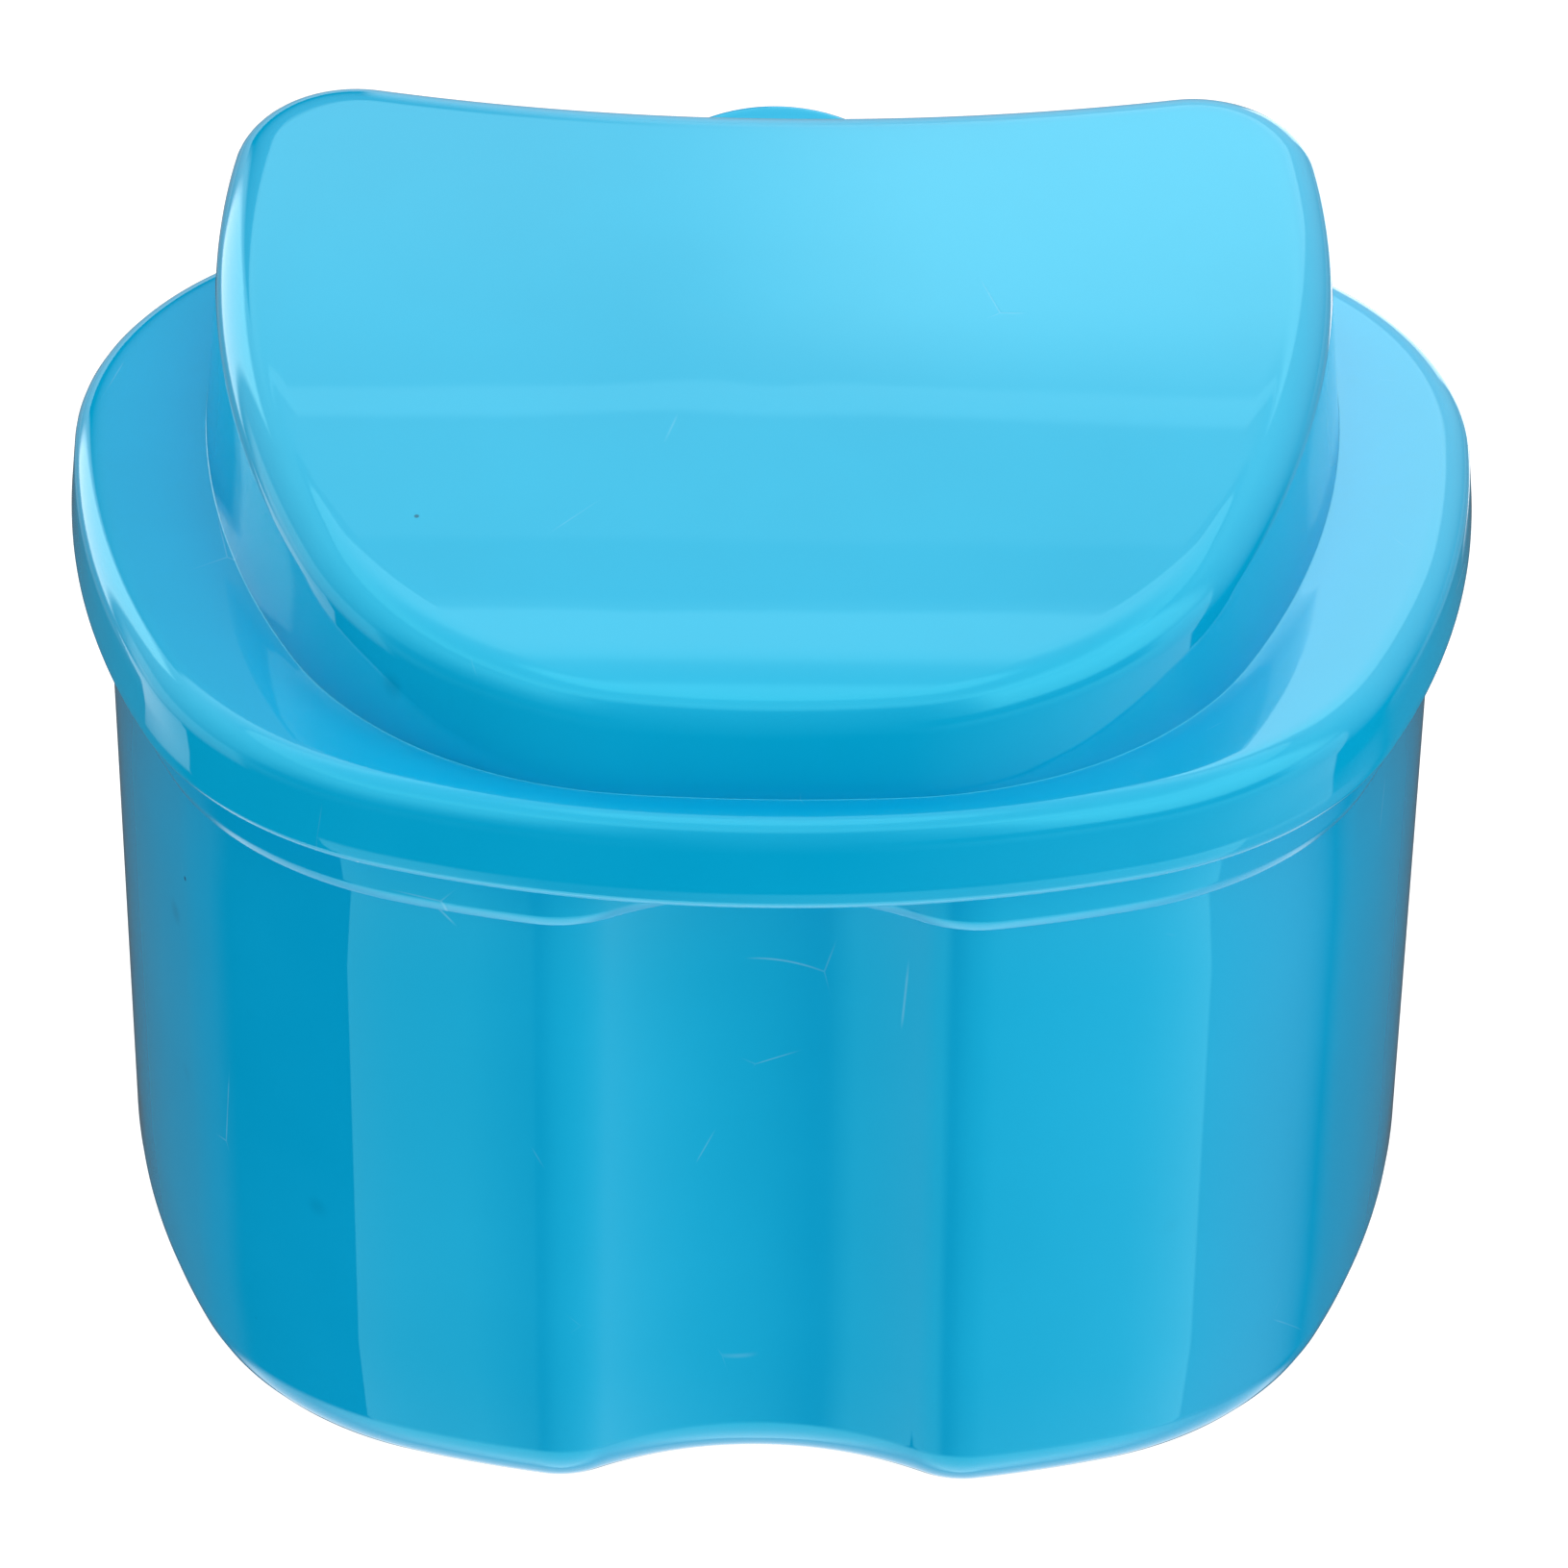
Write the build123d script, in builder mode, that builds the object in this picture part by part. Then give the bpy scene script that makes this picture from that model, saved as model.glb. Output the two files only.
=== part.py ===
"""Denture bath case: a cup with a thumb notch, a strainer basket that hangs in it, and a domed lid.

Frame: X across the case, -Y towards the front with the notch, +Z up. The origin is under the
middle of the whole case, on the surface that the cup stands on. All sizes are in millimetres.
Every outline is a ring of tangent arcs, given by the circles that the arcs lie on, so that a
wall's thickness, a clearance or a draft is the same outline with another inset.
"""

import os
from collections import namedtuple
from math import atan2, cos, hypot, pi, radians, sin, sqrt, tan

from build123d import *

Round = namedtuple("Round", "x y r")  # a circle of an outline; r is below 0 where the edge is hollow

# ---------------------------------------------------------------- driving dimensions
# Lid rim outline, over the skirt and without its lip
RIM_FRONT_CORNER_X = 15.57
RIM_FRONT_CORNER_Y = -13.9
RIM_FRONT_CORNER_RADIUS = 25.0
RIM_BACK_CORNER_X = 20.27
RIM_BACK_CORNER_Y = 4.65
RIM_BACK_CORNER_RADIUS = 24.4
RIM_FRONT_RADIUS = 75.0
RIM_SIDE_RADIUS = 73.7
RIM_BACK_RADIUS = 390.0

# Dome outline where it stands on the lid's flange
DOME_FRONT_CORNER_X = 6.4
DOME_FRONT_CORNER_Y = -12.4
DOME_FRONT_CORNER_RADIUS = 25.4
DOME_BACK_CORNER_X = 26.9
DOME_BACK_CORNER_Y = 14.2
DOME_BACK_CORNER_RADIUS = 8.8
DOME_FRONT_RADIUS = 102.0
DOME_SIDE_RADIUS = 69.6
DOME_BACK_HOLLOW_RADIUS = 129.0
DOME_CREST_Y = 111.0  # where the arc of the dome's top would be level, behind the dome itself
DOME_CREST_HEIGHT = 19.7  # and how high it would be there above the flange
DOME_CROWN_RADIUS = 843.0
DOME_BROW_Y = -32.9  # where the top starts to turn down towards the front
DOME_BROW_RADIUS = 12.0
DOME_DRAFT = 4.9
DOME_EDGE_FILLET = 2.8
DOME_CREASE_FILLET = 0.5

# Lid
LID_TOP = 55.05
LID_WALL = 1.6
LID_EDGE_FILLET = 1.7
SKIRT_DEPTH = 5.95
SKIRT_WALL = 1.15
LIP_REACH = 0.12
LIP_HEIGHT = 0.6
LIP_SLOPE_ANGLE = 30.0
TAB_WIDTH = 22.0
TAB_REACH = 9.3
TAB_SLOPE_ANGLE = 18.3
TAB_BEND_RADIUS = 6.0
TAB_ROOT_FILLET = 3.0
TAB_EMBED = 3.0  # how far its root runs into the flange
TAB_EDGE_FILLET = 0.5

# Cup
CUP_WALL = 1.6
CUP_FLOOR = 2.0
CUP_DRAFT = 0.85
COLLAR_STEP = 0.65
COLLAR_SHOWN = 3.35  # how far the collar reaches below the lid's skirt
COLLAR_EDGE_FILLET = 0.4
CUP_FOOT_FILLET = 4.2
CUP_INNER_FILLET = 3.0
FOOT_GROOVE_INSET = 4.6
FOOT_GROOVE_WIDTH = 1.0
FOOT_GROOVE_DEPTH = 0.5
LEDGE_WIDTH = 1.0
LIP_EDGE_FILLET = 0.3
NOTCH_RADIUS = 18.0
NOTCH_APEX_Y = -36.9
NOTCH_LOBE_RADIUS = 8.9

# Basket
BASKET_WALL = 1.2
BASKET_FLOOR = 1.4
BASKET_FLANGE = 1.4
BASKET_DRAFT = 1.5
BASKET_EDGE_FILLET = 2.0
FLOOR_GAP = 3.0
DRAIN_HOLE = 4.0
DRAIN_PITCH = 7.0
DRAIN_COLUMNS = 9
DRAIN_ROWS = 6
DRAIN_CENTRE_Y = -4.0
SLOT_WIDTH = 3.0
SLOT_HEIGHT = 28.0
FRONT_SLOT_ANGLES = (-78, -56, -34, -12)
BACK_SLOT_ANGLES = (8, 30, 52, 74)
SIDE_SLOT_Y = (-12.0, -5.8, 0.4)
MIDDLE_SLOT_X = (-14.0, -7.0, 0.0, 7.0, 14.0)
HANDLE_WIDTH = 20.0
HANDLE_WALL = 2.0
HANDLE_CORNER = 4.0
FINGER_GAP_WIDTH = 14.0
FINGER_GAP_CORNER = 1.5
HANDLE_BAR = 2.2
HANDLE_ROOT_DEPTH = 5.0

# Clearances
SKIRT_CLEARANCE = 0.25
FLANGE_CLEARANCE = 0.3
LID_OVER_FLANGE = 0.2
BASKET_CLEARANCE = 0.6
HANDLE_UNDER_DOME = 0.7
CUTTER_SPARE = 10.0  # how far a cutting tool reaches past what it cuts
SMALL = 0.01  # how close two heights are to be the same

# ---------------------------------------------------------------- worked-out places
SKIRT_BOTTOM = LID_TOP - SKIRT_DEPTH
CUP_TOP = LID_TOP - LID_WALL
COLLAR_BOTTOM = SKIRT_BOTTOM - COLLAR_SHOWN
COLLAR_INSET = SKIRT_WALL + SKIRT_CLEARANCE
CUP_INSET = COLLAR_INSET + COLLAR_STEP  # the cup's wall, just below its collar
CUP_LEAN = tan(radians(CUP_DRAFT))
CUP_FOOT_INSET = CUP_INSET + COLLAR_BOTTOM * CUP_LEAN
CUP_BORE_INSET = CUP_INSET + CUP_WALL
LEDGE_Z = CUP_TOP - LID_OVER_FLANGE - BASKET_FLANGE
RECESS_INSET = CUP_BORE_INSET - LEDGE_WIDTH
BASKET_TOP = LEDGE_Z + BASKET_FLANGE
BASKET_BOTTOM = CUP_FLOOR + FLOOR_GAP
BASKET_INSET = CUP_BORE_INSET + BASKET_CLEARANCE
BASKET_LEAN = tan(radians(BASKET_DRAFT))
SLOT_Z = (BASKET_BOTTOM + BASKET_TOP) / 2
CREST_CENTRE_Z = LID_TOP + DOME_CREST_HEIGHT - DOME_CROWN_RADIUS


# ---------------------------------------------------------------- outlines
def joined_centre(a, b, radius, side):
    """The centre of the arc of that radius that runs tangent over circles a and b. A radius
    below 0 is a hollow arc, whose centre lies outside. side picks one of the two answers."""
    reach_a, reach_b = abs(radius - a.r), abs(radius - b.r)
    span = hypot(b.x - a.x, b.y - a.y)
    along = (reach_a**2 - reach_b**2 + span**2) / (2 * span)
    across = side * sqrt(reach_a**2 - along**2)
    ux, uy = (b.x - a.x) / span, (b.y - a.y) / span
    return Round(a.x + along * ux - across * uy, a.y + along * uy + across * ux, radius)


def mirrored(a):
    return Round(-a.x, a.y, a.r)


def tangent_point(a, b):
    """Where two neighbouring arcs of an outline touch, on the line through their centres."""
    gap = hypot(b.x - a.x, b.y - a.y)
    if a.r * b.r < 0:  # one bulges and the other is hollow: they touch between the centres
        reach = abs(a.r) / gap
    else:  # the smaller one lies inside the larger
        reach = abs(a.r) / gap * (1 if abs(a.r) > abs(b.r) else -1)
    return a.x + (b.x - a.x) * reach, a.y + (b.y - a.y) * reach


def draw_ring(rounds, inset=0.0):
    """Draws the closed outline into the BuildLine in use, moved inwards by inset. The circles
    run anticlockwise, and an arc's middle lies halfway round from its start to its end."""
    ring = [Round(a.x, a.y, a.r - inset) for a in rounds]
    points = [tangent_point(a, b) for a, b in zip(ring, ring[1:] + ring[:1])]
    for a, start, end in zip(ring, points[-1:] + points[:-1], points):
        first = atan2(start[1] - a.y, start[0] - a.x)
        sweep = (atan2(end[1] - a.y, end[0] - a.x) - first) % (2 * pi)
        if a.r < 0:
            sweep -= 2 * pi
        middle = first + sweep / 2
        ThreePointArc(start, (a.x + abs(a.r) * cos(middle), a.y + abs(a.r) * sin(middle)), end)


def closed_ring(front_corner, back_corner, front, side, back, notch=None):
    """The circles of a whole outline, anticlockwise from its front. notch is a hollow circle
    in the middle of the front and the radius of the lobe on each side of it."""
    left_front, left_back = mirrored(front_corner), mirrored(back_corner)
    front_arc = joined_centre(left_front, front_corner, front, 1)
    back_arc = joined_centre(back_corner, left_back, back, 1 if back > 0 else -1)
    right_side = joined_centre(front_corner, back_corner, side, 1)
    ring = [front_corner, right_side, back_corner, back_arc, left_back, mirrored(right_side), left_front]
    if notch is None:
        return [front_arc] + ring
    hollow, lobe_radius = notch
    centre = joined_centre(front_arc, hollow, lobe_radius, 1)
    lobe = Round(abs(centre.x), centre.y, lobe_radius)
    return [hollow, lobe, front_arc] + ring + [front_arc, mirrored(lobe)]


RIM_FRONT_CORNER = Round(RIM_FRONT_CORNER_X, RIM_FRONT_CORNER_Y, RIM_FRONT_CORNER_RADIUS)
RIM_BACK_CORNER = Round(RIM_BACK_CORNER_X, RIM_BACK_CORNER_Y, RIM_BACK_CORNER_RADIUS)
DOME_FRONT_CORNER = Round(DOME_FRONT_CORNER_X, DOME_FRONT_CORNER_Y, DOME_FRONT_CORNER_RADIUS)
DOME_BACK_CORNER = Round(DOME_BACK_CORNER_X, DOME_BACK_CORNER_Y, DOME_BACK_CORNER_RADIUS)
NOTCH = Round(0, NOTCH_APEX_Y - NOTCH_RADIUS, -NOTCH_RADIUS)
RIM = closed_ring(RIM_FRONT_CORNER, RIM_BACK_CORNER, RIM_FRONT_RADIUS, RIM_SIDE_RADIUS, RIM_BACK_RADIUS)
KIDNEY = closed_ring(
    RIM_FRONT_CORNER,
    RIM_BACK_CORNER,
    RIM_FRONT_RADIUS,
    RIM_SIDE_RADIUS,
    RIM_BACK_RADIUS,
    (NOTCH, NOTCH_LOBE_RADIUS),
)
DOME = closed_ring(
    DOME_FRONT_CORNER, DOME_BACK_CORNER, DOME_FRONT_RADIUS, DOME_SIDE_RADIUS, -DOME_BACK_HOLLOW_RADIUS
)
RIM_FRONT_Y = RIM[0].y - RIM[0].r
RIM_BACK_Y = RIM[4].y + RIM[4].r
TAB_TIP_Y = RIM_BACK_Y + TAB_REACH
MIDDLE_Y = (RIM_FRONT_Y - LIP_REACH + TAB_TIP_Y) / 2  # the middle of the case from lip to tab


def level(z):
    """The plane that an outline is drawn in, at that height."""
    return Plane(origin=(0, -MIDDLE_Y, z))


def side_plane():
    """The plane across the case's width, for shapes that are the same all the way across. Its
    first direction is the case's y and its second one is z."""
    return Plane(origin=(0, -MIDDLE_Y, 0), x_dir=(0, 1, 0), z_dir=(1, 0, 0))


def slab(rounds, inset, bottom, height, taper=0.0, mode=Mode.ADD):
    """Adds or cuts the outline, moved in by inset, from bottom up or down by height. taper
    leans its sides in as it goes, in degrees."""
    with BuildSketch(level(bottom)) as outline:
        with BuildLine():
            draw_ring(rounds, inset)
        make_face()
    extrude(outline.sketch, amount=height, taper=taper, mode=mode)


def flat_face_at(part, z):
    """The level faces of a part at that height."""
    return part.faces().filter_by(Plane.XY).filter_by_position(Axis.Z, z - SMALL, z + SMALL)


def crown_point(y, drop=0.0):
    """A point on the arc of the dome's top, or that far below it."""
    radius = DOME_CROWN_RADIUS - drop
    return y, CREST_CENTRE_Z + sqrt(radius**2 - (y - DOME_CREST_Y) ** 2)


def brow_circle():
    """The arc at the front of the dome's top, which touches the crown's arc at DOME_BROW_Y."""
    y, z = crown_point(DOME_BROW_Y)
    share = DOME_BROW_RADIUS / DOME_CROWN_RADIUS
    return Round(y + (DOME_CREST_Y - y) * share, z + (CREST_CENTRE_Z - z) * share, DOME_BROW_RADIUS)


def dome_block(inset, bottom, drop):
    """The dome as a solid block, moved in by inset all round and by drop at the top."""
    brow = brow_circle()
    touch_share = (brow.r - drop) / brow.r
    y, z = crown_point(DOME_BROW_Y)
    touch = (brow.x + (y - brow.x) * touch_share, brow.y + (z - brow.y) * touch_share)
    back = crown_point(RIM_BACK_Y, drop)
    between = crown_point((touch[0] + back[0]) / 2, drop)
    first = atan2(touch[1] - brow.y, touch[0] - brow.x)
    front = (brow.x - brow.r + drop, brow.y)
    half = (first + pi) / 2
    brow_middle = (brow.x + (brow.r - drop) * cos(half), brow.y + (brow.r - drop) * sin(half))
    with BuildPart() as block:
        slab(DOME, inset, bottom, LID_TOP + DOME_CREST_HEIGHT - bottom, DOME_DRAFT)
        with BuildSketch(side_plane()):
            with BuildLine():
                ThreePointArc(front, brow_middle, touch)
                ThreePointArc(touch, between, back)
                Polyline(back, (back[0], 0), (front[0], 0), front)
            make_face()
        extrude(amount=RIM_SIDE_RADIUS, both=True, mode=Mode.INTERSECT)
        brim = block.edges().filter_by(GeomType.LINE, reverse=True)
        brim = brim.filter_by_position(Axis.Z, LID_TOP + DOME_EDGE_FILLET, 2 * LID_TOP)
        fillet(brim, DOME_EDGE_FILLET - drop)
    return block.part


# ---------------------------------------------------------------- cup
with BuildPart() as cup:
    slab(KIDNEY, COLLAR_INSET, COLLAR_BOTTOM, CUP_TOP - COLLAR_BOTTOM)
    fillet(cup.faces().sort_by(Axis.Z)[0].edges(), COLLAR_EDGE_FILLET)
    slab(KIDNEY, CUP_INSET, COLLAR_BOTTOM, -COLLAR_BOTTOM, CUP_DRAFT)
    fillet(cup.faces().sort_by(Axis.Z)[0].edges(), CUP_FOOT_FILLET)
    slab(KIDNEY, CUP_BORE_INSET, COLLAR_BOTTOM, CUP_FLOOR - COLLAR_BOTTOM, CUP_DRAFT, Mode.SUBTRACT)
    fillet(flat_face_at(cup, CUP_FLOOR).edges(), CUP_INNER_FILLET)
    slab(KIDNEY, CUP_BORE_INSET, COLLAR_BOTTOM, CUP_TOP - COLLAR_BOTTOM, 0, Mode.SUBTRACT)
    slab(KIDNEY, RECESS_INSET, LEDGE_Z, CUP_TOP - LEDGE_Z, 0, Mode.SUBTRACT)
    fillet(cup.faces().sort_by(Axis.Z)[-1].edges(), LIP_EDGE_FILLET)
    # A groove round the base, so that the case stands flat on a wet shelf
    with BuildSketch(level(0)):
        with BuildLine():
            draw_ring(KIDNEY, CUP_FOOT_INSET + FOOT_GROOVE_INSET)
        make_face()
        with BuildLine():
            draw_ring(KIDNEY, CUP_FOOT_INSET + FOOT_GROOVE_INSET + FOOT_GROOVE_WIDTH)
        make_face(mode=Mode.SUBTRACT)
    extrude(amount=FOOT_GROOVE_DEPTH, mode=Mode.SUBTRACT)
cup.part.label = "cup"


# ---------------------------------------------------------------- basket
def outward(x, y, angle):
    """An upright plane at x, y that faces that way, at the height of the slots."""
    facing = (cos(radians(angle)), sin(radians(angle)), 0)
    along = (-facing[1], facing[0], 0)
    return Plane(origin=(x, y - MIDDLE_Y, SLOT_Z), x_dir=along, z_dir=facing)


slot_planes = []
for side in (-1, 1):
    for angle in FRONT_SLOT_ANGLES:
        turn = angle if side > 0 else 180 - angle
        slot_planes.append(outward(side * RIM_FRONT_CORNER.x, RIM_FRONT_CORNER.y, turn))
    for angle in BACK_SLOT_ANGLES:
        turn = angle if side > 0 else 180 - angle
        slot_planes.append(outward(side * RIM_BACK_CORNER.x, RIM_BACK_CORNER.y, turn))
    for y in SIDE_SLOT_Y:
        slot_planes.append(outward(side * RIM_BACK_CORNER.x, y, 90 - side * 90))
for x in MIDDLE_SLOT_X:
    slot_planes.append(outward(x, RIM_BACK_CORNER.y, 90))

HANDLE_INSET = BASKET_INSET + HANDLE_ROOT_DEPTH * BASKET_LEAN
HANDLE_FRONT_Y = NOTCH_APEX_Y + HANDLE_INSET
HANDLE_BACK_Y = HANDLE_FRONT_Y + HANDLE_WALL
HANDLE_TOP = crown_point(HANDLE_FRONT_Y, LID_WALL)[1] - HANDLE_UNDER_DOME
HANDLE_ROOT = BASKET_TOP - HANDLE_ROOT_DEPTH

with BuildPart() as basket:
    slab(KIDNEY, BASKET_INSET, BASKET_TOP, BASKET_BOTTOM - BASKET_TOP, BASKET_DRAFT)
    fillet(basket.faces().sort_by(Axis.Z)[0].edges(), BASKET_EDGE_FILLET)
    slab(KIDNEY, RECESS_INSET + FLANGE_CLEARANCE, LEDGE_Z, BASKET_FLANGE)
    fillet(basket.faces().sort_by(Axis.Z)[-1].edges(), LIP_EDGE_FILLET)
    bore_bottom = BASKET_BOTTOM + BASKET_FLOOR
    bore_depth = BASKET_TOP - bore_bottom
    slab(KIDNEY, BASKET_INSET + BASKET_WALL, BASKET_TOP, -bore_depth, BASKET_DRAFT, Mode.SUBTRACT)
    fillet(flat_face_at(basket, bore_bottom).edges(), BASKET_EDGE_FILLET - BASKET_WALL)

    # The handle stands on the wall of the notch and runs up under the front of the dome
    with BuildSketch(level(HANDLE_ROOT)):
        with BuildLine():
            draw_ring(KIDNEY, HANDLE_INSET)
        make_face()
        with BuildLine():
            draw_ring(KIDNEY, HANDLE_INSET + HANDLE_WALL)
        make_face(mode=Mode.SUBTRACT)
        with Locations((0, HANDLE_BACK_Y - HANDLE_WIDTH / 2)):
            Rectangle(HANDLE_WIDTH, HANDLE_WIDTH, mode=Mode.INTERSECT)
    extrude(amount=HANDLE_TOP - HANDLE_ROOT)
    with BuildSketch(Plane.XZ):
        with Locations((0, BASKET_TOP)):
            Rectangle(FINGER_GAP_WIDTH, HANDLE_TOP - HANDLE_BAR - BASKET_TOP, align=(Align.CENTER, Align.MIN))
        fillet(vertices().group_by(Axis.Y)[-1], FINGER_GAP_CORNER)
    extrude(amount=RIM_SIDE_RADIUS, mode=Mode.SUBTRACT)
    # Round off the handle's two shoulders
    with BuildSketch(Plane.XZ):
        with Locations((0, HANDLE_TOP)):
            Rectangle(HANDLE_WIDTH, 2 * HANDLE_CORNER)
        with Locations((0, HANDLE_TOP - HANDLE_CORNER)):
            RectangleRounded(HANDLE_WIDTH, 2 * HANDLE_CORNER, HANDLE_CORNER - SMALL, mode=Mode.SUBTRACT)
    extrude(amount=RIM_SIDE_RADIUS, mode=Mode.SUBTRACT)

    # Holes in the floor and slots round the wall
    with BuildSketch(level(BASKET_BOTTOM)):
        with Locations((0, DRAIN_CENTRE_Y)):
            with GridLocations(DRAIN_PITCH, DRAIN_PITCH, DRAIN_COLUMNS, DRAIN_ROWS):
                Circle(DRAIN_HOLE / 2)
    extrude(amount=BASKET_FLOOR, mode=Mode.SUBTRACT)
    with BuildSketch(*slot_planes):
        SlotOverall(SLOT_HEIGHT, SLOT_WIDTH, rotation=90)
    extrude(amount=RIM_BACK_CORNER.r + CUTTER_SPARE, mode=Mode.SUBTRACT)
basket.part.label = "basket"


# ---------------------------------------------------------------- lid
lid_plate_bottom = LID_TOP - LID_WALL
TAB_SLOPE = radians(TAB_SLOPE_ANGLE)


def bend_point(angle, drop):
    """A point on the bend at the tab's root, that far round it and that far below its top."""
    radius = TAB_BEND_RADIUS + drop
    return RIM_BACK_Y + radius * sin(angle), LID_TOP + TAB_BEND_RADIUS - radius * cos(angle)


def slope_end(drop):
    """A point past the tip on the tab's straight slope, that far below its top."""
    y, z = bend_point(TAB_SLOPE, drop)
    return y + TAB_REACH * cos(TAB_SLOPE), z + TAB_REACH * sin(TAB_SLOPE)


with BuildPart() as lid:
    slab(RIM, 0, SKIRT_BOTTOM, SKIRT_DEPTH)
    fillet(lid.faces().sort_by(Axis.Z)[-1].edges(), LID_EDGE_FILLET)
    slab(RIM, -LIP_REACH, SKIRT_BOTTOM, LIP_HEIGHT)
    lip_slope = LIP_REACH / tan(radians(LIP_SLOPE_ANGLE))
    slab(RIM, -LIP_REACH, SKIRT_BOTTOM + LIP_HEIGHT, lip_slope, LIP_SLOPE_ANGLE)
    add(dome_block(0, LID_TOP, 0))
    fillet(lid.edges().filter_by_position(Axis.Z, LID_TOP, LID_TOP), DOME_CREASE_FILLET)
    slab(RIM, SKIRT_WALL, SKIRT_BOTTOM, lid_plate_bottom - SKIRT_BOTTOM, 0, Mode.SUBTRACT)
    add(dome_block(LID_WALL, lid_plate_bottom, LID_WALL), mode=Mode.SUBTRACT)

    # The lift tab slopes up from the back of the flange
    with BuildPart() as tab:
        with BuildSketch(level(lid_plate_bottom)):
            with BuildLine():
                # Two hollow root arcs, tangent to the flange's flat top and to the round tip
                flat_back = Round(RIM[4].x, RIM[4].y, RIM[4].r - LID_EDGE_FILLET)
                tip = Round(0, TAB_TIP_Y - TAB_WIDTH / 2, TAB_WIDTH / 2)
                root = joined_centre(flat_back, tip, -TAB_ROOT_FILLET, -1)
                on_flange, on_tip = tangent_point(flat_back, root), tangent_point(root, tip)
                toward_x = (on_flange[0] + on_tip[0]) / 2 - root.x
                toward_y = (on_flange[1] + on_tip[1]) / 2 - root.y
                share = TAB_ROOT_FILLET / hypot(toward_x, toward_y)
                middle = (root.x + toward_x * share, root.y + toward_y * share)
                inner_y = RIM_BACK_Y - TAB_EMBED
                ThreePointArc(on_flange, middle, on_tip)
                ThreePointArc(on_tip, (0, TAB_TIP_Y), (-on_tip[0], on_tip[1]))
                ThreePointArc((-on_tip[0], on_tip[1]), (-middle[0], middle[1]), (-on_flange[0], on_flange[1]))
                left_end = (-on_flange[0], on_flange[1])
                Polyline(left_end, (-on_flange[0], inner_y), (on_flange[0], inner_y), on_flange)
            make_face()
        extrude(amount=TAB_REACH)
        with BuildSketch(side_plane()):
            with BuildLine():
                ThreePointArc(*[bend_point(share * TAB_SLOPE, 0) for share in (0, 0.5, 1)])
                slope_ends = slope_end(0), slope_end(LID_WALL)
                Polyline(bend_point(TAB_SLOPE, 0), *slope_ends, bend_point(TAB_SLOPE, LID_WALL))
                ThreePointArc(*[bend_point(share * TAB_SLOPE, LID_WALL) for share in (1, 0.5, 0)])
                Polyline(
                    bend_point(0, LID_WALL),
                    (RIM_BACK_Y - 2 * TAB_EMBED, lid_plate_bottom),
                    (RIM_BACK_Y - 2 * TAB_EMBED, LID_TOP),
                    bend_point(0, 0),
                )
            make_face()
        extrude(amount=TAB_WIDTH, both=True, mode=Mode.INTERSECT)
        beyond_rim = tab.edges().filter_by_position(Axis.Y, RIM_BACK_Y - MIDDLE_Y, 2 * RIM_BACK_Y)
        fillet(beyond_rim.filter_by(GeomType.LINE, reverse=True), TAB_EDGE_FILLET)
lid.part.label = "lid"

# ---------------------------------------------------------------- files
os.makedirs("parts", exist_ok=True)
export_step(cup.part, "parts/cup.step")
export_step(basket.part, "parts/basket.step")
export_step(lid.part, "parts/lid.step")
for name, made in (("cup", cup), ("basket", basket), ("lid", lid)):
    size = made.part.bounding_box()
    print(name, len(made.part.solids()), made.part.is_valid, round(made.part.volume), size)
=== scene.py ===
"""A denture bath case in glossy blue polypropylene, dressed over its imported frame.

Lengths here are in millimetres and are turned into metres as each mesh is made. The outlines of
the cup and the lid are rings of tangent arcs, and every moulded wall is one surface: a profile
of insets and heights that is carried round an outline.
"""

from collections import namedtuple

import bpy
import numpy as np
from mathutils import Matrix, Vector


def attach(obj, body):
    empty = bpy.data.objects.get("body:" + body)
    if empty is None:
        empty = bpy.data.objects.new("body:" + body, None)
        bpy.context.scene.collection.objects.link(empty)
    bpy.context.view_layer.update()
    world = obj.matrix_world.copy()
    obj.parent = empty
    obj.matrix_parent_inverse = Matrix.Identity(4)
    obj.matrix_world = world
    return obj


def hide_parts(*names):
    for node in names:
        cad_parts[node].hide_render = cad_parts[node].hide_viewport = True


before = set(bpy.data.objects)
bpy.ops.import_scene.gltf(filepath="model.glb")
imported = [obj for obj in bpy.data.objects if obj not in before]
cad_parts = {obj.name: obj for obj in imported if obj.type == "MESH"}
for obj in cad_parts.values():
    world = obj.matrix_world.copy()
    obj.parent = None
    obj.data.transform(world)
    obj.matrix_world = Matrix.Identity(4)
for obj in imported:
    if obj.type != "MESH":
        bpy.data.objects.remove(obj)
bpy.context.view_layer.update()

MM = 0.001

# ---------------------------------------------------------------- sizes, in millimetres
Round = namedtuple("Round", "x y r")  # a circle of an outline; r is below 0 where the edge is hollow

RIM_FRONT_CORNER = Round(15.57, -13.9, 25.0)
RIM_BACK_CORNER = Round(20.27, 4.65, 24.4)
RIM_FRONT_RADIUS = 75.0
RIM_SIDE_RADIUS = 73.7
RIM_BACK_RADIUS = 390.0
DOME_FRONT_CORNER = Round(6.4, -12.4, 25.4)
DOME_BACK_CORNER = Round(26.9, 14.2, 8.8)
DOME_FRONT_RADIUS = 102.0
DOME_SIDE_RADIUS = 69.6
DOME_BACK_HOLLOW_RADIUS = 129.0
NOTCH_RADIUS = 18.0
NOTCH_APEX_Y = -36.9
NOTCH_LOBE_RADIUS = 8.9

DOME_CREST_Y = 111.0  # where the arc of the dome's top would be level, behind the dome itself
DOME_CREST_HEIGHT = 19.7  # and how high it would be there above the flange
DOME_CROWN_RADIUS = 843.0
DOME_BROW_Y = -32.9  # where the top starts to turn down towards the front
DOME_BROW_RADIUS = 12.0
DOME_DRAFT = np.radians(4.9)
DOME_EDGE_FILLET = 2.8
DOME_CREASE = 0.07  # the hollow round where its wall meets the flange
DOME_MOUTH_ROUND = ((0.35, 0), (0.1, 0.1), (0, 0.35))  # its hollow's lower edge: outwards, upwards

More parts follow.
